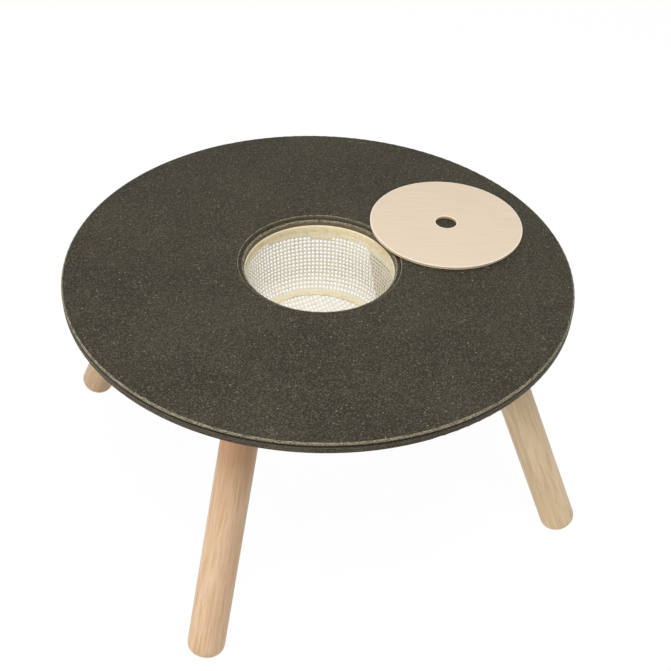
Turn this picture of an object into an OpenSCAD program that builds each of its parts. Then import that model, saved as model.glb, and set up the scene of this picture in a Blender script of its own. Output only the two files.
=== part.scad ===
// Round low table for children, with a net storage bag hung under an opening
// in the tabletop. A loose lid closes the opening and lies here beside it.
// Millimetres. Z is up, the floor is z = 0, the origin is under the table's centre.

/* [Tabletop] */
// Height of the tabletop's upper face above the floor
table_h = 435; // [400:5:540]
// Radius of the tabletop
top_r = 400; // [380:5:480]
// Thickness of the upper sheet, which is also the depth of the lid's seat
sheet_t = 5; // [5:0.5:10]
// Thickness of the base board bonded under the sheet
board_t = 13; // [12:1:20]
// Round-over on the upper outer edge
top_round = 3; // [2:0.5:5]
// Round-over on the lower outer edge
under_round = 2; // [1:0.5:6]
// Height of the shadow groove where the two layers meet at the outer edge
groove_h = 1.2; // [0.6:0.2:1.6]
// Depth of that groove
groove_d = 1; // [0.5:0.1:1.5]

/* [Opening] */
// Radius of the hole through the base board
hole_r = 120; // [100:1:135]
// Width of the ledge that the closed lid lies on
ledge_w = 9; // [7:0.5:14]
// Round-over on the ledge's inner edge
ledge_round = 4; // [2:0.5:5]
// Round-over on the upper sheet's edge round the seat
seat_round = 1.5; // [0.5:0.5:3]
// Round-over on the lower edge of the hole
hole_round = 1; // [0.5:0.5:2]

/* [Lid] */
// Clearance between the lid and its seat, all round
lid_gap = 2; // [1:0.5:4]
// Thickness of the lid, which stands a little proud of its seat when it is closed
lid_t = 6; // [4:0.5:9]
// Radius of the finger hole in the lid
finger_r = 17.5; // [12:0.5:22]
// Round-over on all four edges of the lid
lid_round = 1; // [0.5:0.25:1.5]
// Distance from the table's centre to the lid's, where it lies on the tabletop
lid_rest_r = 237; // [225:1:250]
// Direction in which the lid lies from the table's centre
lid_rest_a = 3.6; // [-30:0.1:30]

/* [Net bag] */
// Thickness of the hem, a doubled canvas band
hem_t = 1.5; // [1:0.1:2.5]
// Height of the hem below the base board
hem_h = 24; // [16:1:30]
// Width of the hem's flange, clamped between the ring and the board
flange_w = 24; // [20:1:32]
// Depth of the whole bag below the base board
bag_depth = 160; // [135:5:220]
// Radius of the bend from the bag's side to its bottom
bag_bend = 60; // [45:5:80]
// Radius to which the bag's bottom sags
bag_sag = 240; // [180:10:400]
// Thickness of the ring that clamps the flange
ring_t = 9; // [7:0.5:12]
// Running clearance between the hem and the ring's bore
hem_gap = 0.3; // [0.2:0.1:0.6]
// Round-over on the ring's lower edges
ring_round = 1.5; // [0.5:0.5:2]
// Number of screws in the ring
ring_screw_n = 8; // [6:1:12]

/* [Legs] */
// Angle of each of the four legs from upright
splay = 24.5; // [15:0.5:27]
// Distance from the table's centre to a leg's axis, at the board's underside
root_r = 271; // [235:1:275]
// Radius of a leg at its top end
leg_top_r = 27.75; // [24:0.25:30]
// Radius of a leg just above its rounded foot
leg_foot_r = 28.75; // [25:0.25:32]
// Radius of the rounding at the foot
foot_round = 18; // [12:0.5:22]
// Depth worn flat where the foot meets the floor
foot_flat = 1; // [0.5:0.1:1.5]
// Bevel on the leg's top edge
leg_bevel = 1.5; // [0.5:0.5:3]

/* [Leg blocks] */
// Length of a leg block, measured outwards from the table's centre
block_l = 76; // [70:1:80]
// Width of a leg block
block_w = 76; // [70:1:90]
// Distance along the leg's axis from the board's underside to the leg's top end
block_seat = 30; // [29:0.5:40]
// Radius of the block's upright corners
block_corner = 10; // [4:1:14]
// Distance of a block screw from the block's two nearest sides
screw_inset = 11; // [9:0.5:12]
// Thickness of wood between a block screw's head and the board
screw_seat = 7; // [5:0.5:8]

/* [Fasteners] */
// Radius of the leg bolt
bolt_r = 4; // [3:0.5:5]
// Length of the leg bolt above the leg's top end
bolt_up = 15; // [10:1:18]
// Length of the leg bolt inside the leg
bolt_down = 42; // [30:1:60]
// Wall of the threaded insert that the bolt screws into
insert_wall = 2.5; // [2:0.25:3]
// Length of the threaded insert
insert_len = 17; // [12:1:20]
// Width of the insert's flange beyond its body
insert_lip = 3; // [2:0.25:4]
// Thickness of the insert's flange
insert_lip_t = 1.2; // [0.8:0.1:2]
// Radius of the wood screws' shanks
screw_r = 1.9; // [1.5:0.1:2.2]
// Radius of the wood screws' heads
screw_head_r = 3.8; // [3.2:0.1:4.2]
// Depth of the cross recess in a screw's head
recess_d = 1.4; // [0.8:0.1:1.8]
// Depth to which every wood screw bites into the base board
screw_bite = 9; // [6:0.5:10]
// Fit clearance of a shank or insert in its hole
fit_gap = 0.05; // [0.02:0.01:0.1]
// Clearance of a screw in the piece that it only passes through
pass_gap = 0.3; // [0.2:0.05:0.6]

/* [Hidden] */
$fn = 96;

// Directions of the four legs from the table's centre
front_left_angle = 225;
front_right_angle = 315;
back_right_angle = 45;
back_left_angle = 135;
leg_angles = [front_left_angle, front_right_angle, back_right_angle, back_left_angle];

// Levels above the floor
under_z = table_h - sheet_t - board_t;
board_top_z = under_z + board_t;
clamp_z = under_z - hem_t;
ring_low_z = clamp_z - ring_t;
hem_low_z = under_z - hem_h;

// The seat for the lid, and the lid in it
seat_r = hole_r + ledge_w;
lid_r = seat_r - lid_gap;

// The hem's band carries on from the wall of the hole, and the net from the band
band_r = hole_r + hem_t;
ring_in_r = band_r + hem_gap;
ring_out_r = band_r + flange_w;
ring_screw_circle = (ring_in_r + ring_out_r) / 2;

// Centres of the two arcs that close the bag, tangent to each other
sag_rise = sqrt(pow(bag_sag - bag_bend, 2) - pow(band_r - bag_bend, 2));
sag_z = under_z - bag_depth + bag_sag;
bend_z = sag_z - sag_rise;

// In a leg's own frame the axis is Z and the origin lies on the board's underside
leg_top_w = -block_seat;
foot_core_r = leg_foot_r - foot_round;
foot_w = -(under_z + foot_flat - foot_core_r * sin(splay) - foot_round) / cos(splay);
seat_x = root_r + block_seat * sin(splay);

// Screw heads are cones that end in the shank
head_h = screw_head_r - screw_r;
insert_r = bolt_r + insert_wall;
lip_r = insert_r + insert_lip;

PAST = 1;    // how far a cut runs past the face that it opens
FAR = 600;   // larger than any piece that a half space cuts

// Shares of a wood screw's own radii
CROSS_LONG_SHARE = 0.8; // length of the cross recess, of the head's radius
CROSS_WIDE_SHARE = 0.2; // width of the recess's arms, of the head's radius
POINT_LONG_SHARE = 2;   // length of the point, of the shank's radius
POINT_END_SHARE = 0.25; // radius of the point's end, of the shank's radius

// What a round-over of radius r takes from a corner at p. The material lies
// towards side[0] along X and side[1] along Y.
module corner_cut(p, side, r) {
    translate(p) face_side(side) difference() {
        translate([-PAST, -PAST]) square(r + PAST);
        translate([r, r]) circle(r);
    }
}

// Mirrors a shape drawn for side [1, 1] to any other side
module face_side(side) {
    mirror([side[0] < 0 ? 1 : 0, 0]) mirror([0, side[1] < 0 ? 1 : 0]) children();
}

// Places its children in the own frame of the leg that stands at angle a
module leg_frame(a) {
    rotate([0, 0, a]) translate([root_r, 0, under_z]) rotate([0, -splay, 0]) children();
}

// Places its children upright above the middle of the leg's top end
module block_frame(a) {
    rotate([0, 0, a]) translate([seat_x, 0, under_z]) children();
}

// Places its children at each of the four screws of a block, in the block's frame
module block_screw_places() {
    for (x = [-1, 1], y = [-1, 1])
        translate([x * (block_l / 2 - screw_inset), y * (block_w / 2 - screw_inset), 0])
            children();
}

// Places its children at each screw of the ring
module ring_screw_places() {
    for (i = [0 : ring_screw_n - 1])
        rotate([0, 0, (i + 0.5) * 360 / ring_screw_n])
            translate([ring_screw_circle, 0, 0]) children();
}

// A countersunk wood screw pointing up, the face of its head at z = 0
module wood_screw(length) {
    tip = screw_r * POINT_LONG_SHARE;
    arm_l = screw_head_r * CROSS_LONG_SHARE;
    arm_w = screw_head_r * CROSS_WIDE_SHARE;
    difference() {
        union() {
            cylinder(h = head_h, r1 = screw_head_r, r2 = screw_r);
            cylinder(h = length - tip, r = screw_r);
            translate([0, 0, length - tip])
                cylinder(h = tip, r1 = screw_r, r2 = screw_r * POINT_END_SHARE);
        }
        for (turn = [0, 90])
            rotate([0, 0, turn]) translate([-arm_l / 2, -arm_w / 2, -PAST])
                cube([arm_l, arm_w, recess_d + PAST]);
    }
}

// The hole that a wood screw bites in the base board
module board_pilot() {
    translate([0, 0, under_z - PAST])
        cylinder(h = screw_bite + fit_gap + PAST, r = screw_r + fit_gap);
}

// Upper layer: round-over and half the groove outside, seat for the lid inside
module top_sheet() {
    color([0.30, 0.29, 0.24]) rotate_extrude() difference() {
        translate([seat_r, board_top_z]) square([top_r - seat_r, sheet_t]);
        corner_cut([top_r, table_h], [-1, -1], top_round);
        corner_cut([seat_r, table_h], [1, -1], seat_round);
        translate([top_r - groove_d, board_top_z - PAST])
            square([groove_d + PAST, groove_h / 2 + PAST]);
    }
}

// Lower layer: carries the legs and the bag, and its hole is narrower by the ledge
module base_board() {
    color([0.27, 0.26, 0.21]) difference() {
        rotate_extrude() difference() {
            translate([hole_r, under_z]) square([top_r - hole_r, board_t]);
            corner_cut([top_r, under_z], [-1, 1], under_round);
            corner_cut([hole_r, board_top_z], [1, -1], ledge_round);
            corner_cut([hole_r, under_z], [1, 1], hole_round);
            translate([top_r - groove_d, board_top_z - groove_h / 2])
                square([groove_d + PAST, groove_h / 2 + PAST]);
        }
        ring_screw_places() board_pilot();
        for (a = leg_angles)
            rotate([0, 0, a]) translate([seat_x, 0, 0]) block_screw_places() board_pilot();
    }
}

// Plain disc with a finger hole, lying on the tabletop
module lid() {
    color([0.88, 0.79, 0.68])
        rotate([0, 0, lid_rest_a]) translate([lid_rest_r, 0, table_h])
            rotate_extrude() difference() {
                translate([finger_r, 0]) square([lid_r - finger_r, lid_t]);
                corner_cut([finger_r, 0], [1, 1], lid_round);
                corner_cut([finger_r, lid_t], [1, -1], lid_round);
                corner_cut([lid_r, 0], [-1, 1], lid_round);
                corner_cut([lid_r, lid_t], [-1, -1], lid_round);
            }
}

// Half section of the bag, filled, drawn in from its outside by the inset
module bag_section(inset) {
    bend_x = band_r - bag_bend;
    deep = 2 * bag_sag; // the wedge that holds the sagging arc ends below it
    translate([0, bend_z]) square([band_r - inset, hem_low_z - bend_z + (inset > 0 ? PAST : 0)]);
    translate([bend_x, bend_z]) circle(bag_bend - inset);
    intersection() {
        translate([0, sag_z]) circle(bag_sag - inset);
        polygon([
            [0, bend_z],
            [bend_x, bend_z],
            [bend_x * deep / sag_rise, sag_z - deep],
            [0, sag_z - deep],
        ]);
    }
}

// The net's outer shape as a plain shell, open at the top
module net_bag() {
    color([0.92, 0.90, 0.84]) rotate_extrude() difference() {
        bag_section(0);
        bag_section(hem_t);
        translate([-2 * bag_sag, bend_z - bag_sag]) square([2 * bag_sag, 2 * bag_sag]);
    }
}

// Canvas band that lines the hole's lower edge, with a flange turned out over the ring
module bag_hem() {
    color([0.80, 0.74, 0.59]) difference() {
        rotate_extrude() {
            translate([hole_r, hem_low_z]) square([hem_t, hem_h]);
            translate([hole_r, clamp_z]) square([ring_out_r - hole_r, hem_t]);
        }
        ring_screw_places()
            translate([0, 0, clamp_z - PAST]) cylinder(h = hem_t + 2 * PAST, r = screw_r + pass_gap);
    }
}

// Plywood ring that clamps the hem's flange to the board
module bag_ring() {
    color([0.86, 0.76, 0.60]) difference() {
        rotate_extrude() difference() {
            translate([ring_in_r, ring_low_z]) square([ring_out_r - ring_in_r, ring_t]);
            corner_cut([ring_in_r, ring_low_z], [1, 1], ring_round);
            corner_cut([ring_out_r, ring_low_z], [-1, 1], ring_round);
        }
        ring_screw_places() {
            translate([0, 0, ring_low_z - PAST])
                cylinder(h = ring_t + 2 * PAST, r = screw_r + pass_gap);
            translate([0, 0, ring_low_z - PAST])
                cylinder(h = PAST, r = screw_head_r + pass_gap);
            translate([0, 0, ring_low_z])
                cylinder(h = head_h, r1 = screw_head_r + pass_gap, r2 = screw_r + pass_gap);
        }
    }
}

// Screws that hold the ring and the flange to the board
module ring_screws() {
    color([0.75, 0.75, 0.77])
        ring_screw_places()
            translate([0, 0, ring_low_z]) wood_screw(ring_t + hem_t + screw_bite);
}

// Half section of a leg: a slight swell downwards, and the foot's edge rounded
module leg_section() {
    foot_end_w = foot_w - foot_round;
    difference() {
        polygon([
            [0, leg_top_w],
            [leg_top_r - leg_bevel, leg_top_w],
            [leg_top_r, leg_top_w - leg_bevel],
            [leg_foot_r, foot_w],
            [leg_foot_r, foot_end_w],
            [0, foot_end_w],
        ]);
        corner_cut([leg_foot_r, foot_end_w], [-1, 1], foot_round);
    }
}

// Turned leg, with a flat where it stands and a blind hole for its bolt
module leg(a) {
    color([0.84, 0.70, 0.57]) difference() {
        leg_frame(a) rotate([0, 0, 180]) rotate_extrude() leg_section();
        leg_frame(a) translate([0, 0, leg_top_w - bolt_down - fit_gap])
            cylinder(h = bolt_down + fit_gap + PAST, r = bolt_r + fit_gap);
        rotate([0, 0, a]) translate([root_r, -FAR / 2, -FAR]) cube(FAR);
    }
}

// Wedge between the board and the leg, its lower face square to the leg's axis
module leg_block(a) {
    color([0.80, 0.66, 0.50]) difference() {
        block_frame(a) translate([0, 0, -FAR]) linear_extrude(FAR) rounded_plan();
        leg_frame(a) {
            translate([-FAR, -FAR, leg_top_w - 2 * FAR]) cube(2 * FAR);
            translate([0, 0, leg_top_w - PAST])
                cylinder(h = insert_len + fit_gap + PAST, r = insert_r + fit_gap);
            translate([0, 0, leg_top_w - PAST])
                cylinder(h = insert_lip_t + fit_gap + PAST, r = lip_r + fit_gap);
            translate([0, 0, leg_top_w - PAST])
                cylinder(h = bolt_up + 2 * PAST, r = bolt_r + pass_gap);
        }
        block_frame(a) block_screw_places() {
            translate([0, 0, -screw_seat - PAST])
                cylinder(h = screw_seat + 2 * PAST, r = screw_r + pass_gap);
            translate([0, 0, -screw_seat])
                cylinder(h = head_h, r1 = screw_head_r + pass_gap, r2 = screw_r + pass_gap);
            translate([0, 0, -FAR]) cylinder(h = FAR - screw_seat, r = screw_head_r + pass_gap);
        }
    }
}

// The block seen from above, with round upright corners
module rounded_plan() {
    square([block_l - 2 * block_corner, block_w], center = true);
    square([block_l, block_w - 2 * block_corner], center = true);
    for (x = [-1, 1], y = [-1, 1])
        translate([x * (block_l / 2 - block_corner), y * (block_w / 2 - block_corner)])
            circle(block_corner);
}

// Double-ended bolt on the leg's axis, half in the leg and half in the insert
module leg_bolt(a) {
    color([0.72, 0.72, 0.74]) leg_frame(a) translate([0, 0, leg_top_w - bolt_down])
        cylinder(h = bolt_down + bolt_up, r = bolt_r);
}

// Threaded insert let into the block's lower face, flush with it
module leg_insert(a) {
    color([0.78, 0.66, 0.36]) leg_frame(a) difference() {
        union() {
            translate([0, 0, leg_top_w]) cylinder(h = insert_len, r = insert_r);
            translate([0, 0, leg_top_w]) cylinder(h = insert_lip_t, r = lip_r);
        }
        translate([0, 0, leg_top_w - PAST])
            cylinder(h = insert_len + 2 * PAST, r = bolt_r + fit_gap);
    }
}

// Screws that hold the four blocks to the board
module block_screws() {
    color([0.75, 0.75, 0.77])
        for (a = leg_angles)
            block_frame(a) block_screw_places()
                translate([0, 0, -screw_seat]) wood_screw(screw_seat + screw_bite);
}

top_sheet();
base_board();
lid();
net_bag();
bag_hem();
bag_ring();
ring_screws();
leg(front_left_angle);  // leg_front_left
leg(front_right_angle);  // leg_front_right
leg(back_right_angle);  // leg_back_right
leg(back_left_angle);  // leg_back_left
leg_block(front_left_angle);  // leg_block_front_left
leg_block(front_right_angle);  // leg_block_front_right
leg_block(back_right_angle);  // leg_block_back_right
leg_block(back_left_angle);  // leg_block_back_left
leg_bolt(front_left_angle);  // leg_bolt_front_left
leg_bolt(front_right_angle);  // leg_bolt_front_right
leg_bolt(back_right_angle);  // leg_bolt_back_right
leg_bolt(back_left_angle);  // leg_bolt_back_left
leg_insert(front_left_angle);  // leg_insert_front_left
leg_insert(front_right_angle);  // leg_insert_front_right
leg_insert(back_right_angle);  // leg_insert_back_right
leg_insert(back_left_angle);  // leg_insert_back_left
block_screws();
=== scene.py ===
"""Looks of a low round children's table: pressed-board top, turned legs, net storage bag, loose lid.

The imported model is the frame: every piece here is in metres, where the CAD has it.
"""

import math

import bmesh
import bpy
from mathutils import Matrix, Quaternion, Vector, noise


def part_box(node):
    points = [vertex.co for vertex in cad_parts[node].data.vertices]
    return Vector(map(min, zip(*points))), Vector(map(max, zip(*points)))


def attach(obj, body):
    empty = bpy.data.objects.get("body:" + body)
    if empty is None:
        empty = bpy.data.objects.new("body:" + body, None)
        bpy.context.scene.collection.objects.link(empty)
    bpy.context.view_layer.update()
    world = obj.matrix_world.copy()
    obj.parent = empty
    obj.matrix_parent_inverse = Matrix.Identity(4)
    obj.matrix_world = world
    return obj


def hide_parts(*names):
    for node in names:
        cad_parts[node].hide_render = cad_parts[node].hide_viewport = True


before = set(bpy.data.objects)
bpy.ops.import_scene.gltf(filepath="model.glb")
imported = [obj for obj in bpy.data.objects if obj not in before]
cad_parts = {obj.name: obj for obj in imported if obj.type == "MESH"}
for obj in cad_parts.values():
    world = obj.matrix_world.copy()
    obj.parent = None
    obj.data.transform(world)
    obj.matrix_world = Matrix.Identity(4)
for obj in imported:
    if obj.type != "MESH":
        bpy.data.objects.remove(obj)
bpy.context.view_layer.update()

# ---------------------------------------------------------------- sizes, from the frame
TOP_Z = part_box("top_sheet")[1].z
UNDER_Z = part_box("base_board")[0].z
HEM_LOW_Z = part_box("bag_hem")[0].z
FLANGE_LOW_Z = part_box("bag_ring")[1].z
FLANGE_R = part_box("bag_ring")[1].x
BAG_LOW_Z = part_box("net_bag")[0].z
BAND_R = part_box("net_bag")[1].x
LID_LOW, LID_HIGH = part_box("lid")
LID_CENTRE = (LID_LOW + LID_HIGH) / 2
LID_R = (LID_HIGH.x - LID_LOW.x) / 2

# Sizes that no box of a node gives
SHEET_T = 0.005
SEAT_R = 0.129
FINGER_R = 0.0175
LID_PLY_T = 0.0012
RING_PLY_T = 0.0015
HEM_T = 0.0015
HOLE_R = BAND_R - HEM_T
BAG_BEND_R = 0.060
BAG_SAG_R = 0.240
LEG_SPLAY = math.radians(24.5)
LEG_ROOT_R = 0.271
LEG_TURNS = {"front_left": 225, "front_right": 315, "back_right": 45, "back_left": 135}

# ---------------------------------------------------------------- the photograph's view
CAM_TURN = math.radians(-115.02)
CAM_RISE = math.radians(36.03)
CAM_DISTANCE = 1.6356
CAM_AIM = Vector((-0.0534, -0.1759, TOP_Z))
CAM_ROLL = math.radians(2.691)
CAM_LENS_MM = 55.29
SENSOR_MM = 36

# ---------------------------------------------------------------- tones of the wood, 0 to 255
# Light, middle and dark of each leg, set lighter or darker leg by leg to match how each is lit: painted
# light and shade
LEG_TONES = {
    "front_left": ((235, 204, 170), (225, 190, 153), (198, 154, 111)),
    "front_right": ((246, 221, 183), (236, 208, 166), (210, 174, 130)),
    "back_right": ((238, 210, 174), (228, 196, 157), (201, 161, 118)),
    "back_left": ((224, 196, 163), (214, 182, 146), (188, 148, 108)),
}
# How much each leg is painted darker and redder toward its top, under the board: painted shade
LEG_TOP_SHADE = {"front_left": 0.50, "front_right": 0.25, "back_right": 0.25, "back_left": 0.25}
BLOCK_TONES = ((224, 192, 152), (212, 178, 138), (186, 146, 106))
# How much the leg blocks are painted darker and redder toward the top: painted shade
BLOCK_TOP_SHADE = 0.1
# Plywood: light and dark of the face, edge of a ply, glue line, round-over of the lower edge, which on the
# lid is dark as a painted contact shadow
LID_TONES = ((233, 214, 191), (226, 207, 182), (226, 208, 178), (200, 180, 148), (54, 41, 26))
RING_TONES = ((226, 204, 168), (212, 188, 150), (206, 178, 136), (168, 138, 100), (214, 188, 150))
LID_GRAIN_TURN = math.radians(-25)


def srgb(red, green, blue):
    """A colour as the eye reads it, 0 to 255, in the linear values that shaders take."""
    parts = [c / 255 for c in (red, green, blue)]
    linear = [c / 12.92 if c <= 0.04045 else ((c + 0.055) / 1.055) ** 2.4 for c in parts]
    return (*linear, 1.0)


# ---------------------------------------------------------------- finishes
class Finish:
    """A material's node tree, with short calls for the nodes that the finishes share."""

    def __init__(self, name, **uniform):
        self.material = bpy.data.materials.new(name)
        self.material.use_nodes = True
        self.tree = self.material.node_tree
        self.shader = self.tree.nodes["Principled BSDF"]
        for socket, value in uniform.items():
            self.shader.inputs[socket.replace("_", " ")].default_value = value
        self.coords = self.tree.nodes.new("ShaderNodeTexCoord")
        self.at = self.coords.outputs["Object"]

    def node(self, kind, inputs, **settings):
        made = self.tree.nodes.new(kind)
        for key, value in settings.items():
            setattr(made, key, value)
        for key, value in inputs.items():
            if isinstance(value, bpy.types.NodeSocket):
                self.tree.links.new(value, made.inputs[key])
            else:
                made.inputs[key].default_value = value
        return made

    def place(self, centre=(0, 0, 0), turn=(0, 0, 0), grain=(1, 1, 1), source="Object"):
        """Coordinates from a centre, along turned axes, then squeezed along them for a grain."""
        own = self.node(
            "ShaderNodeMapping",
            {"Vector": self.coords.outputs[source], "Location": centre, "Rotation": turn},
            vector_type="TEXTURE",
        )
        return self.vector("MULTIPLY", own.outputs[0], grain).outputs[0]

    def noise(self, vector, scale, detail=2.0, rough=0.5, distortion=0.0):
        made = self.node(
            "ShaderNodeTexNoise",
            {
                "Vector": vector,
                "Scale": scale,
                "Detail": detail,
                "Roughness": rough,
                "Distortion": distortion,
            },
        )
        return made.outputs["Fac"]

    def cells(self, vector, scale, randomness=1.0):
        """How far off the middle of its cell a point lies, and a number that is each cell's own."""
        made = self.node(
            "ShaderNodeTexVoronoi",
            {"Vector": vector, "Scale": scale, "Randomness": randomness},
            feature="F1",
        )
        return made.outputs["Distance"], self.split(made.outputs["Color"])[0]

    def calc(self, operation, a, b=0.0):
        return self.node("ShaderNodeMath", {0: a, 1: b}, operation=operation).outputs[0]

    def vector(self, operation, a, b=(0, 0, 0)):
        return self.node("ShaderNodeVectorMath", {0: a, 1: b}, operation=operation)

    def step(self, value, low, high):
        """0 below low, 1 above high, smooth between; low may be the greater."""
        made = self.node(
            "ShaderNodeMapRange",
            {"Value": value, "From Min": low, "From Max": high},
            interpolation_type="SMOOTHSTEP",
        )
        return made.outputs[0]

    def mix(self, share, a, b):
        return self.node("ShaderNodeMix", {0: share, 6: a, 7: b}, data_type="RGBA").outputs[2]

    def tint(self, colour, where, strength, other):
        """A colour that turns toward another one, by that strength where the mask is 1."""
        return self.mix(self.calc("MULTIPLY", where, strength), colour, other)

    def split(self, vector):
        return self.node("ShaderNodeSeparateXYZ", {0: vector}).outputs

    def height(self):
        return self.split(self.at)[2]

    def rise(self):
        """How much the surface faces up: 1 straight up, 0 on a wall, -1 straight down."""
        return self.split(self.coords.outputs["Normal"])[2]

    def radius(self, vector):
        """Distance from the Z axis."""
        flat = self.vector("MULTIPLY", vector, (1, 1, 0))
        return self.vector("LENGTH", flat.outputs[0]).outputs["Value"]

    def bump(self, height, depth):
        made = self.node("ShaderNodeBump", {"Height": height, "Distance": depth, "Strength": 1.0})
        return made.outputs[0]

    def done(self, colour, roughness, normal=None):
        for socket, value in (("Base Color", colour), ("Roughness", roughness), ("Normal", normal)):
            if isinstance(value, bpy.types.NodeSocket):
                self.tree.links.new(value, self.shader.inputs[socket])
            elif value is not None:
                self.shader.inputs[socket].default_value = value
        return self.material


def pressed_board():
    """Dark pressed wood-fibre board: mottled face, layered sawn side, pale round-overs that are sanded
    fibre and a painted highlight.
    """
    own = Finish("pressed_board", Specular_IOR_Level=0.22)
    mottle = own.noise(own.at, 420, 2, 0.7, 0.4)
    pebble = own.noise(own.at, 760, 2, 0.6)
    speck = own.noise(own.place(grain=(1, 1, 2.2)), 430, 2, 0.7)
    height, rise, radius = own.height(), own.rise(), own.radius(own.at)
    steep = own.step(own.calc("ABSOLUTE", rise), 0.35, 0.15)
    outer = own.step(radius, 0.300, 0.350)
    colour = board_face(own, mottle)
    colour = own.mix(own.calc("MULTIPLY", steep, outer), colour, sawn_side(own, speck))
    # Walls of the well, the hole's browner than the seat's above it
    seat = own.step(height, TOP_Z - SHEET_T - 0.0020, TOP_Z - SHEET_T + 0.0010)
    walls = own.mix(seat, srgb(110, 97, 69), srgb(103, 97, 77))
    well = own.step(radius, SEAT_R + 0.0055, SEAT_R + 0.0035)
    colour = own.mix(own.calc("MULTIPLY", steep, well), colour, walls)
    # Round-overs that face up, and the whole sanded edge of the upper sheet, paler: sanded fibre and a
    # painted highlight, none on round-overs that face down
    edge = own.calc("MULTIPLY", own.step(height, TOP_Z - 0.0030, TOP_Z - 0.0024), outer)
    sanded_and_highlight = own.calc("MAXIMUM", own.step(rise, 0.25, 0.45), edge)
    sanded_and_highlight = own.calc("MULTIPLY", sanded_and_highlight, own.step(rise, 0.9985, 0.985))
    colour = own.tint(colour, sanded_and_highlight, 0.95, sanded_edge_and_highlight(own, speck))
    # The dark joint between the two layers, on the outer side only
    joint = own.calc("ABSOLUTE", own.calc("SUBTRACT", height, TOP_Z - SHEET_T))
    joint = own.calc("MULTIPLY", own.step(joint, 0.0017, 0.0011), own.step(radius, 0.390, 0.395))
    colour = own.tint(colour, joint, 0.9, srgb(36, 32, 22))
    roughness = own.calc("ADD", own.calc("MULTIPLY", pebble, 0.25), 0.55)
    relief = own.calc("ADD", mottle, own.calc("MULTIPLY", pebble, 0.5))
    return own.done(colour, roughness, own.bump(relief, 0.0003))


def board_face(own, mottle):
    """The board's flat faces: slow clouds of shade, a fine mottle and a few pale flecks."""
    cloud = own.noise(own.at, 7, 3, 0.6)
    colour = own.mix(own.step(cloud, 0.3, 0.7), srgb(45, 43, 33), srgb(58, 55, 42))
    colour = own.tint(colour, own.step(mottle, 0.50, 0.34), 0.8, srgb(26, 24, 17))
    colour = own.tint(colour, own.step(mottle, 0.50, 0.68), 0.8, srgb(105, 99, 79))
    return own.tint(colour, flecks(own), 0.8, srgb(150, 143, 122))


def flecks(own):
    """Small ragged spots, one in some of the cells of a random pattern."""
    scale, rarity = 230, 0.94
    ragged = own.calc("MULTIPLY", own.noise(own.at, scale * 1.7, 1), 0.4)
    distance, number = own.cells(own.at, scale)
    chosen = own.step(number, rarity, rarity + 0.03)
    spot = own.step(own.calc("ADD", distance, ragged), 0.52, 0.36)
    return own.calc("MULTIPLY", chosen, spot)


def sawn_side(own, speck):
    """The board's outer side: layers pressed one on another, with dark and pale specks."""
    level = own.noise(own.place(grain=(1, 1, 40)), 16, 2, 0.7)
    colour = own.mix(own.step(level, 0.40, 0.60), srgb(50, 45, 34), srgb(90, 82, 67))
    colour = own.tint(colour, own.step(speck, 0.48, 0.32), 0.7, srgb(34, 30, 21))
    return own.tint(colour, own.step(speck, 0.50, 0.66), 0.7, srgb(128, 120, 101))


def sanded_edge_and_highlight(own, speck):
    """Where the board is sanded round: pale fibre, smeared along the edge, which also stands as a painted
    highlight.
    """
    smear = own.noise(own.place(grain=(1, 1, 12)), 110, 3, 0.7)
    smear = own.calc("ADD", smear, own.calc("MULTIPLY", speck, 1.2))
    return own.mix(own.step(smear, 0.92, 1.26), srgb(76, 71, 54), srgb(158, 150, 129))


def plywood(name, centre, turn, low_z, ply_t, rims, tones):
    """Rotary-cut veneer, plies in stripes round the outer edge, darker inside, pale where sanded round,
    partly as a painted highlight, and the lower edge in the last tone, on the lid a painted contact
    shadow.
    """
    own = Finish(name, Specular_IOR_Level=0.35)
    light, dark, edge, glue, low_round = (srgb(*tone) for tone in tones)
    inner, outer = rims
    height, rise, radius = own.height(), own.rise(), own.radius(own.place(centre))
    streak = own.noise(own.place(centre, (0, 0, turn), (1, 16, 1)), 14, 4, 0.6, 0.25)
    fibre = own.noise(own.place(centre, (0, 0, turn), (1, 34, 4)), 90, 3, 0.7)
    colour = own.mix(own.step(streak, 0.30, 0.72), light, dark)
    colour = own.tint(colour, own.step(fibre, 0.56, 0.75), 0.25, dark)
    # Plies on the walls, the inner wall browner
    count = own.calc("DIVIDE", own.calc("SUBTRACT", height, low_z), ply_t)
    plies = own.mix(own.step(own.calc("PINGPONG", count, 1.0), 0.3, 0.7), edge, glue)
    plies = own.tint(plies, own.step(radius, inner + 0.002, inner + 0.001), 0.8, srgb(208, 170, 130))
    colour = own.mix(own.step(own.calc("ABSOLUTE", rise), 0.75, 0.35), colour, plies)
    # Upper round-overs pale, sanded and partly a painted highlight; the lower round-over and the side's
    # lowest band in the last tone, which on the lid is a painted contact shadow
    outer_rim = own.step(radius, outer - 0.0022, outer - 0.0016)
    inner_rim = own.step(radius, inner + 0.0020, inner + 0.0014)
    upper = own.calc("MULTIPLY", own.calc("MAXIMUM", outer_rim, inner_rim), own.step(rise, 0.30, 0.60))
    colour = own.mix(upper, colour, srgb(250, 237, 218))
    # On the lid this darkened band is a painted contact shadow under its lower edge
    low = own.step(height, low_z + 0.0018, low_z + 0.0012)
    lower = own.calc("MAXIMUM", own.step(rise, -0.10, -0.45), low)
    lower = own.calc("MULTIPLY", lower, own.step(rise, -0.99, -0.95))
    colour = own.mix(lower, colour, low_round)
    return own.done(colour, 0.5, own.bump(fibre, 0.00006))


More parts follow.
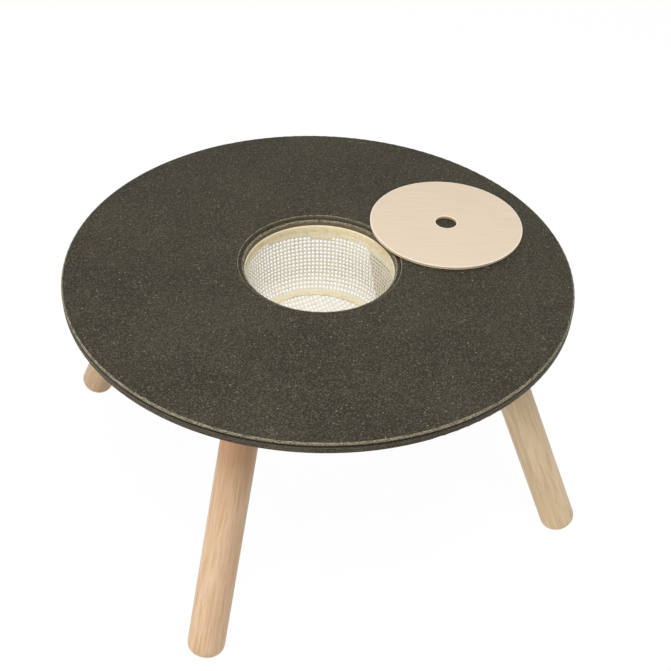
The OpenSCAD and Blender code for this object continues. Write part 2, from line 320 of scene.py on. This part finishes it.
def turned_wood(name, centre, turn, pith, tones, top_shade):
    """Pale hardwood: broken streaks along a piece's own Z axis, faint rings, fine pores, and painted shade
    that makes it darker and redder on top.
    """
    own = Finish(name, Specular_IOR_Level=0.4)
    light, middle, dark = (srgb(*tone) for tone in tones)
    ring_w, ring_wander = 0.0062, 0.034
    bend = own.noise(own.place(centre, turn, (1, 1, 0.3)), 12, 3, 0.6)
    broad = own.noise(own.place(centre, turn, (1, 1, 0.14)), 30, 3, 0.6)
    streak = own.noise(own.place(centre, turn, (1, 1, 0.05)), 210, 3, 0.65, 0.3)
    fibre = own.noise(own.place(centre, turn, (1, 1, 0.045)), 480, 2, 0.65)
    pores = own.noise(own.place(centre, turn, (1, 1, 0.06)), 900, 1, 0.4)
    off_pith = own.vector("SUBTRACT", own.place(centre, turn), (*pith, 0)).outputs[0]
    ring = own.calc("ADD", own.radius(off_pith), own.calc("MULTIPLY", bend, ring_wander))
    ring = own.calc("PINGPONG", own.calc("DIVIDE", ring, ring_w), 1.0)
    colour = own.mix(own.step(broad, 0.30, 0.70), light, middle)
    colour = own.tint(colour, own.step(ring, 0.3, 1.0), 0.16, dark)
    colour = own.tint(colour, own.step(streak, 0.46, 0.70), 0.5, dark)
    colour = own.tint(colour, own.step(fibre, 0.46, 0.70), 0.45, dark)
    colour = own.tint(colour, own.step(pores, 0.66, 0.80), 0.3, srgb(150, 112, 78))
    # Painted shade: darker and redder toward the top, under the board
    upper = own.calc("POWER", own.step(own.height(), UNDER_Z - 0.26, UNDER_Z - 0.06), 3.0)
    colour = own.tint(colour, upper, top_shade, srgb(212, 142, 84))
    roughness = own.calc("ADD", own.calc("MULTIPLY", fibre, 0.2), 0.34)
    return own.done(colour, roughness, own.bump(fibre, 0.00008))


def leg_root(corner):
    """Where a leg's axis meets the underside of the board, and the leg's turn round the table."""
    turn = math.radians(LEG_TURNS[corner])
    return (LEG_ROOT_R * math.cos(turn), LEG_ROOT_R * math.sin(turn), UNDER_Z), turn


def leg_wood(corner):
    """Wood of one leg, with its grain along the splayed axis."""
    root, turn = leg_root(corner)
    pith = Vector((0.045, 0, 0))
    pith.rotate(Quaternion((0, 0, 1), turn * 1.7))
    along = (0, -LEG_SPLAY, turn)
    tones, top_shade = LEG_TONES[corner], LEG_TOP_SHADE[corner]
    return turned_wood("leg_wood_" + corner, root, along, pith.xy, tones, top_shade)


def block_wood(corner):
    """Wood of one leg block, with its grain level and outwards."""
    root, turn = leg_root(corner)
    along = (0, math.radians(90), turn)
    return turned_wood("block_wood_" + corner, root, along, (0.09, 0.02), BLOCK_TONES, BLOCK_TOP_SHADE)


def scuffed_metal(name, dull, bright, scale, smoothest, spread):
    """Metal of the fasteners, with its shade and its gloss broken up by fine scuffs."""
    own = Finish(name, Metallic=1.0)
    scuff = own.noise(own.at, scale, 3, 0.6)
    colour = own.mix(scuff, srgb(*dull), srgb(*bright))
    return own.done(colour, own.calc("ADD", own.calc("MULTIPLY", scuff, spread), smoothest))


def net_yarn():
    """Soft cream yarn with a fine fuzz and slow changes of shade."""
    own = Finish("net_yarn", Specular_IOR_Level=0.2, Sheen_Weight=0.15, Sheen_Roughness=0.5)
    fuzz = own.noise(own.at, 1600, 2, 0.6)
    shade = own.noise(own.at, 45, 2, 0.5)
    colour = own.mix(own.step(fuzz, 0.35, 0.65), srgb(238, 233, 215), srgb(250, 247, 234))
    colour = own.tint(colour, shade, 0.25, srgb(232, 224, 198))
    return own.done(colour, 0.85, own.bump(fuzz, 0.0003))


def hem_canvas():
    """Two layers of knit turned over, some of their eyelets painted as pale spots for light seen through
    them, in the piece's own UV in metres.
    """
    own = Finish("hem_canvas", Specular_IOR_Level=0.2, Sheen_Weight=0.1, Sheen_Roughness=0.5)
    light, dark = srgb(255, 242, 208), srgb(243, 219, 168)
    across = own.coords.outputs["UV"]
    u, v = own.split(across)[0:2]
    thread = math.pi / THREAD_W
    warp = own.calc("SINE", own.calc("MULTIPLY", u, thread))
    weft = own.calc("SINE", own.calc("MULTIPLY", v, thread))
    weave = own.calc("ADD", own.calc("MULTIPLY", own.calc("MULTIPLY", warp, weft), 0.5), 0.5)
    slub = own.noise(own.place(grain=(6, 40, 1), source="UV"), 14, 2)
    stain = own.noise(own.place(source="UV"), 45, 3, 0.7)
    # The hem's lower part, within an uneven limit, paler, where every eyelet is painted as a pale spot:
    # painted light seen through the knit
    height = own.height()
    uneven = own.calc("ADD", height, own.calc("MULTIPLY", stain, 0.014))
    low = own.step(uneven, UNDER_Z + 0.003, UNDER_Z - 0.009)
    distance, number = own.cells(across, 1 / NET_CELL_W, 0.3)
    chosen = own.calc("MULTIPLY", own.step(number, 0.25, 0.55), 0.7)
    eyelet = own.calc("MULTIPLY", own.step(distance, 0.40, 0.16), own.calc("MAXIMUM", chosen, low))
    lip = own.step(height, UNDER_Z + 0.0020, UNDER_Z + 0.0036)
    colour = own.tint(light, weave, 0.5, dark)
    colour = own.tint(colour, own.step(slub, 0.40, 0.70), 0.6, dark)
    colour = own.tint(colour, own.step(stain, 0.50, 0.66), 0.6, srgb(238, 206, 142))
    colour = own.tint(colour, low, 0.5, srgb(248, 242, 220))
    # Painted light: pale spots where light would show through open eyelets
    colour = own.tint(colour, eyelet, 0.95, srgb(255, 253, 242))
    colour = own.tint(colour, lip, 0.8, srgb(254, 246, 226))
    return own.done(colour, 0.9, own.bump(own.calc("SUBTRACT", weave, eyelet), 0.00025))


def stitch_thread():
    """Pale sewing thread, its shade broken up by its twist."""
    own = Finish("stitch_thread", Specular_IOR_Level=0.3)
    twist = own.noise(own.at, 2400, 1)
    return own.done(own.mix(twist, srgb(226, 216, 188), srgb(242, 234, 212)), 0.7)


def finish_cad_nodes():
    """Gives every CAD piece that stays its material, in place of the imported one."""
    board = pressed_board()
    steel = scuffed_metal("zinc_steel", (176, 178, 180), (206, 206, 204), 900, 0.25, 0.25)
    brass = scuffed_metal("insert_brass", (196, 168, 98), (216, 190, 122), 700, 0.30, 0.20)
    looks = {"top_sheet": board, "base_board": board, "ring_screws": steel, "block_screws": steel}
    looks["lid"] = plywood(
        "lid_plywood", LID_CENTRE, LID_GRAIN_TURN, LID_LOW.z, LID_PLY_T, (FINGER_R, LID_R), LID_TONES
    )
    looks["bag_ring"] = plywood(
        "ring_plywood", (0, 0, 0), 0, FLANGE_LOW_Z, RING_PLY_T, (BAND_R, FLANGE_R), RING_TONES
    )
    for corner in LEG_TURNS:
        looks["leg_" + corner] = leg_wood(corner)
        looks["leg_block_" + corner] = block_wood(corner)
        looks["leg_bolt_" + corner] = steel
        looks["leg_insert_" + corner] = brass
    for name, material in looks.items():
        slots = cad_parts[name].data.materials
        slots.clear()
        slots.append(material)


# ---------------------------------------------------------------- the hanging bag
# Net: yarn round open cells, its columns wandering a little round the bag
NET_T = 0.0009
NET_INSET = 0.0003
NET_CELL_W = 0.0070
NET_ROW_H = 0.0080
NET_STRAND = 0.0029
NET_DRIFT = 0.035
NET_TOP_Z = UNDER_Z - 0.0015
SIDE_COLUMNS = 108
SIDE_ROWS = 17
# Hem: its lip in the hole, the part that the ring holds, the part that hangs straight, the rolled edge
LIP_Z = UNDER_Z + 0.0048
LIP_SHOULDER_Z = UNDER_Z + 0.0042
HELD_Z = UNDER_Z - 0.006
STRAIGHT_Z = UNDER_Z - 0.012
ROLL_Z = HEM_LOW_Z + 0.007
GATHER_LEAST = 0.35
THREAD_W = 0.0008
STITCH_R = HOLE_R - 0.00005
STITCH_PITCH = 0.0042
STITCH_SIZE = (0.0007, STITCH_PITCH * 0.74, 0.0009)
STITCH_ROWS_Z = (HEM_LOW_Z + 0.0035, HEM_LOW_Z + 0.0085)
# Tape over the seam, which lies that far down the bend
SEAM_ANGLE = math.radians(40)
SEAM_W = 0.010
SEAM_CLEAR = 0.0001
# Slack of the fabric, full from that far below the board and from that far off the bottom's middle
SLACK = 0.0016
SLACK_BELOW = 0.020
SLACK_BEYOND = 0.05
MERGE = 0.00001
# Centres of the two arcs that the bag's outline is drawn on
SAG_CENTRE_Z = BAG_LOW_Z + BAG_SAG_R
BEND_CENTRE_R = BAND_R - BAG_BEND_R
BEND_CENTRE_Z = SAG_CENTRE_Z - math.sqrt((BAG_SAG_R - BAG_BEND_R) ** 2 - BEND_CENTRE_R**2)
# Lengths of fabric from the middle of the bag's bottom outwards: the sag, the bend, up to the seam
SAG_HALF = math.asin(BEND_CENTRE_R / (BAG_SAG_R - BAG_BEND_R))
SAG_LENGTH = BAG_SAG_R * SAG_HALF
BEND_LENGTH = BAG_BEND_R * (math.pi / 2 - SAG_HALF)
SEAM_LENGTH = SAG_LENGTH + BEND_LENGTH - BAG_BEND_R * SEAM_ANGLE
TOP_LENGTH = SAG_LENGTH + BEND_LENGTH + NET_TOP_Z - BEND_CENTRE_Z


def bag_point(length, inset):
    """Radius and height on the bag, at that length of fabric from the middle of its bottom."""
    if length <= SAG_LENGTH:
        angle = length / BAG_SAG_R
        reach = BAG_SAG_R - inset
        return reach * math.sin(angle), SAG_CENTRE_Z - reach * math.cos(angle)
    if length <= SAG_LENGTH + BEND_LENGTH:
        angle = SAG_HALF + (length - SAG_LENGTH) / BAG_BEND_R
        reach = BAG_BEND_R - inset
        return BEND_CENTRE_R + reach * math.sin(angle), BEND_CENTRE_Z - reach * math.cos(angle)
    return BAND_R - inset, BEND_CENTRE_Z + length - SAG_LENGTH - BEND_LENGTH


def slack(turn, height):
    """How far the soft fabric stands in from its full radius at that turn and height."""
    spot = Vector((2.2 * math.cos(turn), 2.2 * math.sin(turn), height * 14))
    free = min(1.0, max(0.0, (UNDER_Z - height) / SLACK_BELOW))
    return SLACK * free * (0.5 + noise.noise(spot))


def bag_place(turn, length, inset):
    """The point of the bag's fabric at that turn and length, with its slack."""
    radius, height = bag_point(length, inset)
    radius -= slack(turn, height) * min(1.0, length / SLACK_BEYOND)
    return Vector((radius * math.cos(turn), radius * math.sin(turn), height))


def open_cells(bm, half_strand):
    """Opens a rounded hole in every cell of a net and leaves the strands between them."""
    bmesh.ops.bisect_edges(bm, edges=bm.edges[:], cuts=1)
    cells = bm.faces[:]
    bmesh.ops.inset_individual(bm, faces=cells, thickness=half_strand, use_even_offset=True)
    for cell in cells:
        middle = cell.calc_center_median()
        reach = sum((v.co - middle).length for v in cell.verts) / len(cell.verts)
        for v in cell.verts:
            out = v.co - middle
            v.co = middle + out.lerp(out.normalized() * reach, 0.7)
    bmesh.ops.delete(bm, geom=cells, context="FACES_ONLY")


def thicken(bm, thickness):
    """Gives a skin its thickness, inwards from where it lies."""
    bmesh.ops.recalc_face_normals(bm, faces=bm.faces[:])
    for v in bm.verts:
        v.normal_update()
    bmesh.ops.solidify(bm, geom=bm.faces[:], thickness=thickness)
    bmesh.ops.recalc_face_normals(bm, faces=bm.faces[:])


def finish_piece(name, bm, material):
    """Makes a smooth piece of the bag from a bmesh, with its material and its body."""
    mesh = bpy.data.meshes.new(name)
    bm.to_mesh(mesh)
    bm.free()
    mesh.materials.append(material)
    mesh.polygons.foreach_set("use_smooth", [True] * len(mesh.polygons))
    piece = bpy.data.objects.new(name, mesh)
    bpy.context.scene.collection.objects.link(piece)
    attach(piece, "table")
    return piece


def net_side(material):
    """The net's side: rows of cells round the bag, from the seam up into the hem."""
    bm = bmesh.new()
    bmesh.ops.create_grid(bm, x_segments=SIDE_COLUMNS, y_segments=SIDE_ROWS, size=0.5)
    for v in bm.verts:
        turn = 2 * math.pi * (v.co.x + 0.5)
        length = SEAM_LENGTH + (TOP_LENGTH - SEAM_LENGTH) * (v.co.y + 0.5)
        drift = NET_DRIFT * noise.noise(Vector((math.cos(turn), math.sin(turn), length * 9)))
        v.co = bag_place(turn + drift, length, NET_INSET)
    bmesh.ops.remove_doubles(bm, verts=bm.verts[:], dist=MERGE)
    open_cells(bm, NET_STRAND / 2)
    thicken(bm, NET_T)
    return finish_piece("net_side", bm, material)


def net_bottom(material):
    """The net's bottom: a round cut of the same net, sagging, sewn to the side at the seam."""
    columns = 2 * math.ceil(SEAM_LENGTH / NET_CELL_W)
    rows = 2 * math.ceil(SEAM_LENGTH / NET_ROW_H)
    bm = bmesh.new()
    bmesh.ops.create_grid(bm, x_segments=columns, y_segments=rows, size=0.5)
    bmesh.ops.scale(bm, vec=(columns * NET_CELL_W, rows * NET_ROW_H, 1), verts=bm.verts[:])
    far = [f for f in bm.faces if f.calc_center_median().length > SEAM_LENGTH]
    bmesh.ops.delete(bm, geom=far, context="FACES")
    open_cells(bm, NET_STRAND / 2)
    for v in bm.verts:
        reach, turn = v.co.xy.length, math.atan2(v.co.y, v.co.x)
        v.co = bag_place(turn, reach, NET_INSET)
    thicken(bm, NET_T)
    return finish_piece("net_bottom", bm, material)


def revolved(outline, steps):
    """A closed outline of (radius, height) points, spun once round the Z axis."""
    bm = bmesh.new()
    corners = [bm.verts.new((radius, 0, height)) for radius, height in outline]
    edges = [bm.edges.new((a, b)) for a, b in zip(corners, corners[1:] + corners[:1])]
    bmesh.ops.spin(
        bm,
        geom=corners + edges,
        cent=(0, 0, 0),
        axis=(0, 0, 1),
        angle=2 * math.pi,
        steps=steps,
        use_merge=True,
    )
    bmesh.ops.remove_doubles(bm, verts=bm.verts[:], dist=MERGE)
    bmesh.ops.recalc_face_normals(bm, faces=bm.faces[:])
    return bm


def wrap_uv(bm, radius):
    """UV in metres on a revolved piece: along its turn, and along its outline by height and radius."""
    layer = bm.loops.layers.uv.new("UVMap")
    for face in bm.faces:
        middle = face.calc_center_median()
        base = math.atan2(middle.y, middle.x)
        for loop in face.loops:
            co = loop.vert.co
            turn = math.atan2(co.y, co.x)
            turn += 2 * math.pi * round((base - turn) / (2 * math.pi))
            loop[layer].uv = (turn * radius, co.z + co.xy.length)


def settle(bm):
    """Moves a piece that is drawn on the full radius in to where the soft fabric hangs."""
    for v in bm.verts:
        turn = math.atan2(v.co.y, v.co.x)
        out = v.co.xy.normalized() * slack(turn, v.co.z)
        v.co.x -= out.x
        v.co.y -= out.y


def gather(bm):
    """Draws the hem's lower edge up unevenly, as a soft turned hem hangs."""
    for v in bm.verts:
        if v.co.z < HELD_Z:
            out = v.co.xy.normalized()
            broad = noise.noise(Vector((1.5 * out.x, 1.5 * out.y, 4.0)))
            small = noise.noise(Vector((11 * out.x, 11 * out.y, 9.0)))
            share = min(1.0, 0.72 + 0.7 * broad + 0.34 * small)
            v.co.z = HELD_Z - (HELD_Z - v.co.z) * max(GATHER_LEAST, share)


def hem_band(material):
    """Doubled knit band: a lip up inside the hole, a rolled lower edge, a flange out over the ring."""
    roll = HEM_T / 2
    wall, face, flange_top_z = HOLE_R - 0.0001, HOLE_R - HEM_T, UNDER_Z - 0.0002
    lip = [(wall, flange_top_z), (wall, LIP_SHOULDER_Z), (wall - 0.0004, LIP_Z)]
    lip += [(face + 0.0003, LIP_Z), (face, LIP_SHOULDER_Z), (face, UNDER_Z - 0.001)]
    inside = [(HOLE_R - 0.0006, HELD_Z), (HOLE_R, STRAIGHT_Z)]
    inside += [(HOLE_R, ROLL_Z), (HOLE_R - 0.0002, ROLL_Z - 0.003)]
    rolled_edge = [
        (HOLE_R + roll - roll * math.cos(a), HEM_LOW_Z + roll - roll * math.sin(a))
        for a in (math.radians(degrees) for degrees in range(0, 181, 30))
    ]
    outside = [(BAND_R, ROLL_Z), (BAND_R, STRAIGHT_Z), (BAND_R, HELD_Z)]
    flange = [(BAND_R, FLANGE_LOW_Z), (FLANGE_R, FLANGE_LOW_Z), (FLANGE_R, flange_top_z)]
    bm = revolved(lip + inside + rolled_edge + outside + flange, 192)
    gather(bm)
    settle(bm)
    wrap_uv(bm, HOLE_R)
    return finish_piece("hem_band", bm, material)


def seam_tape(material):
    """Canvas tape over the seam between the net's side and its bottom."""
    strips = 4
    lengths = [SEAM_LENGTH + SEAM_W * (i / strips - 0.5) for i in range(strips + 1)]
    outline = [bag_point(length, SEAM_CLEAR) for length in lengths]
    outline += [bag_point(length, HEM_T - SEAM_CLEAR) for length in reversed(lengths)]
    bm = revolved(outline, 144)
    settle(bm)
    wrap_uv(bm, BEND_CENTRE_R + BAG_BEND_R)
    return finish_piece("net_seam_tape", bm, material)


def hem_stitches(material):
    """Rows of stitches near the hem's lower edge, each stitch a small rounded bead of thread."""
    count = round(2 * math.pi * STITCH_R / STITCH_PITCH)
    bm = bmesh.new()
    for height in STITCH_ROWS_Z:
        row = bmesh.new()
        bmesh.ops.create_uvsphere(row, u_segments=8, v_segments=5, radius=0.5)
        bmesh.ops.scale(row, vec=STITCH_SIZE, verts=row.verts[:])
        bmesh.ops.translate(row, vec=(STITCH_R, 0, height), verts=row.verts[:])
        bmesh.ops.spin(
            row,
            geom=row.verts[:] + row.edges[:] + row.faces[:],
            cent=(0, 0, 0),
            axis=(0, 0, 1),
            angle=2 * math.pi * (count - 1) / count,
            steps=count - 1,
            use_duplicate=True,
        )
        mesh = bpy.data.meshes.new("row")
        row.to_mesh(mesh)
        row.free()
        bm.from_mesh(mesh)
        bpy.data.meshes.remove(mesh)
    gather(bm)
    settle(bm)
    bmesh.ops.recalc_face_normals(bm, faces=bm.faces[:])
    return finish_piece("hem_stitches", bm, material)


def build_bag():
    """The whole soft bag: net side and bottom, seam tape, hem and its stitches."""
    yarn = net_yarn()
    canvas = hem_canvas()
    side = net_side(yarn)
    bottom = net_bottom(yarn)
    tape = seam_tape(canvas)
    hem = hem_band(canvas)
    stitches = hem_stitches(stitch_thread())
    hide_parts("net_bag")
    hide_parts("net_bag")
    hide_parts("bag_hem")


# ---------------------------------------------------------------- studio
WORLD_STRENGTH = 0.40
FLOOR_REACH = 30
# The camera sees the floor as mostly its own glow, near white, and as a little lit paper, which
# keeps the soft shadow
GLOW_SHARE = 0.92
GLOW_STRENGTH = 1.043


def rays_seen(tree):
    """1 for a ray that comes straight from the camera, or by way of a mirror or glass."""
    path = tree.nodes.new("ShaderNodeLightPath")
    found = path.outputs["Is Camera Ray"]
    for other in ("Is Glossy Ray", "Is Transmission Ray"):
        add = tree.nodes.new("ShaderNodeMath")
        add.operation = "MAXIMUM"
        tree.links.new(found, add.inputs[0])
        tree.links.new(path.outputs[other], add.inputs[1])
        found = add.outputs[0]
    return found


def seen_and_lit(tree, output, share, lit, seen):
    """Joins two shaders: that share of the seen one, the rest of the lit one."""
    both = tree.nodes.new("ShaderNodeMixShader")
    out = tree.nodes.new(output)
    tree.links.new(share, both.inputs[0])
    tree.links.new(lit.outputs[0], both.inputs[1])
    tree.links.new(seen.outputs[0], both.inputs[2])
    tree.links.new(both.outputs[0], out.inputs["Surface"])


def studio_world():
    """Even light from all round, and white behind everything."""
    world = bpy.data.worlds.new("studio")
    bpy.context.scene.world = world
    world.use_nodes = True
    tree = world.node_tree
    tree.nodes.clear()
    lit = tree.nodes.new("ShaderNodeBackground")
    lit.inputs["Color"].default_value = (0.97, 0.98, 1.0, 1)
    lit.inputs["Strength"].default_value = WORLD_STRENGTH
    white = tree.nodes.new("ShaderNodeBackground")
    white.inputs["Color"].default_value = (1, 1, 1, 1)
    white.inputs["Strength"].default_value = 1.0
    seen_and_lit(tree, "ShaderNodeOutputWorld", rays_seen(tree), lit, white)


def studio_floor():
    """A wide pale floor, near white to the eye, that keeps a soft shadow."""
    bm = bmesh.new()
    bmesh.ops.create_grid(bm, x_segments=1, y_segments=1, size=FLOOR_REACH)
    mesh = bpy.data.meshes.new("studio_floor")
    bm.to_mesh(mesh)
    bm.free()
    floor = bpy.data.objects.new("studio_floor", mesh)
    bpy.context.scene.collection.objects.link(floor)
    material = bpy.data.materials.new("floor_paper")
    material.use_nodes = True
    tree = material.node_tree
    tree.nodes.clear()
    paper = tree.nodes.new("ShaderNodeBsdfDiffuse")
    paper.inputs["Color"].default_value = (0.86, 0.86, 0.86, 1)
    glow = tree.nodes.new("ShaderNodeEmission")
    glow.inputs["Color"].default_value = (1, 1, 1, 1)
    glow.inputs["Strength"].default_value = GLOW_STRENGTH
    share = tree.nodes.new("ShaderNodeMath")
    share.operation = "MULTIPLY"
    share.inputs[1].default_value = GLOW_SHARE
    tree.links.new(rays_seen(tree), share.inputs[0])
    seen_and_lit(tree, "ShaderNodeOutputMaterial", share.outputs[0], paper, glow)
    mesh.materials.append(material)


def soft_lamp(name, place, target, width, watts, colour):
    """A round softbox that faces its target."""
    data = bpy.data.lights.new(name, "AREA")
    data.shape = "DISK"
    data.size = width
    data.energy = watts
    data.color = colour
    lamp = bpy.data.objects.new(name, data)
    lamp.location = place
    lamp.rotation_mode = "QUATERNION"
    lamp.rotation_quaternion = (Vector(target) - Vector(place)).to_track_quat("-Z", "Y")
    bpy.context.scene.collection.objects.link(lamp)


def camera():
    """The photograph's camera, in front of the front left leg and above it."""
    level = CAM_DISTANCE * math.cos(CAM_RISE)
    place = Vector((level * math.cos(CAM_TURN), level * math.sin(CAM_TURN), TOP_Z))
    place.z += CAM_DISTANCE * math.sin(CAM_RISE)
    data = bpy.data.cameras.new("camera")
    data.sensor_width = SENSOR_MM
    data.lens = CAM_LENS_MM
    made = bpy.data.objects.new("camera", data)
    made.location = place
    made.rotation_mode = "QUATERNION"
    look = (CAM_AIM - place).to_track_quat("-Z", "Y")
    made.rotation_quaternion = look @ Quaternion((0, 0, 1), CAM_ROLL)
    bpy.context.scene.collection.objects.link(made)
    bpy.context.scene.camera = made


camera()
finish_cad_nodes()
build_bag()
studio_world()
studio_floor()
soft_lamp("key", (-0.33, -0.76, 2.4), (-0.05, -0.1, 0.4), 1.4, 31, (1.0, 0.985, 0.96))
soft_lamp("fill", (-2.4, -0.1, 1.15), (0, 0, 0.3), 1.3, 18, (1.0, 0.97, 0.93))
bpy.context.scene.view_settings.view_transform = "Standard"
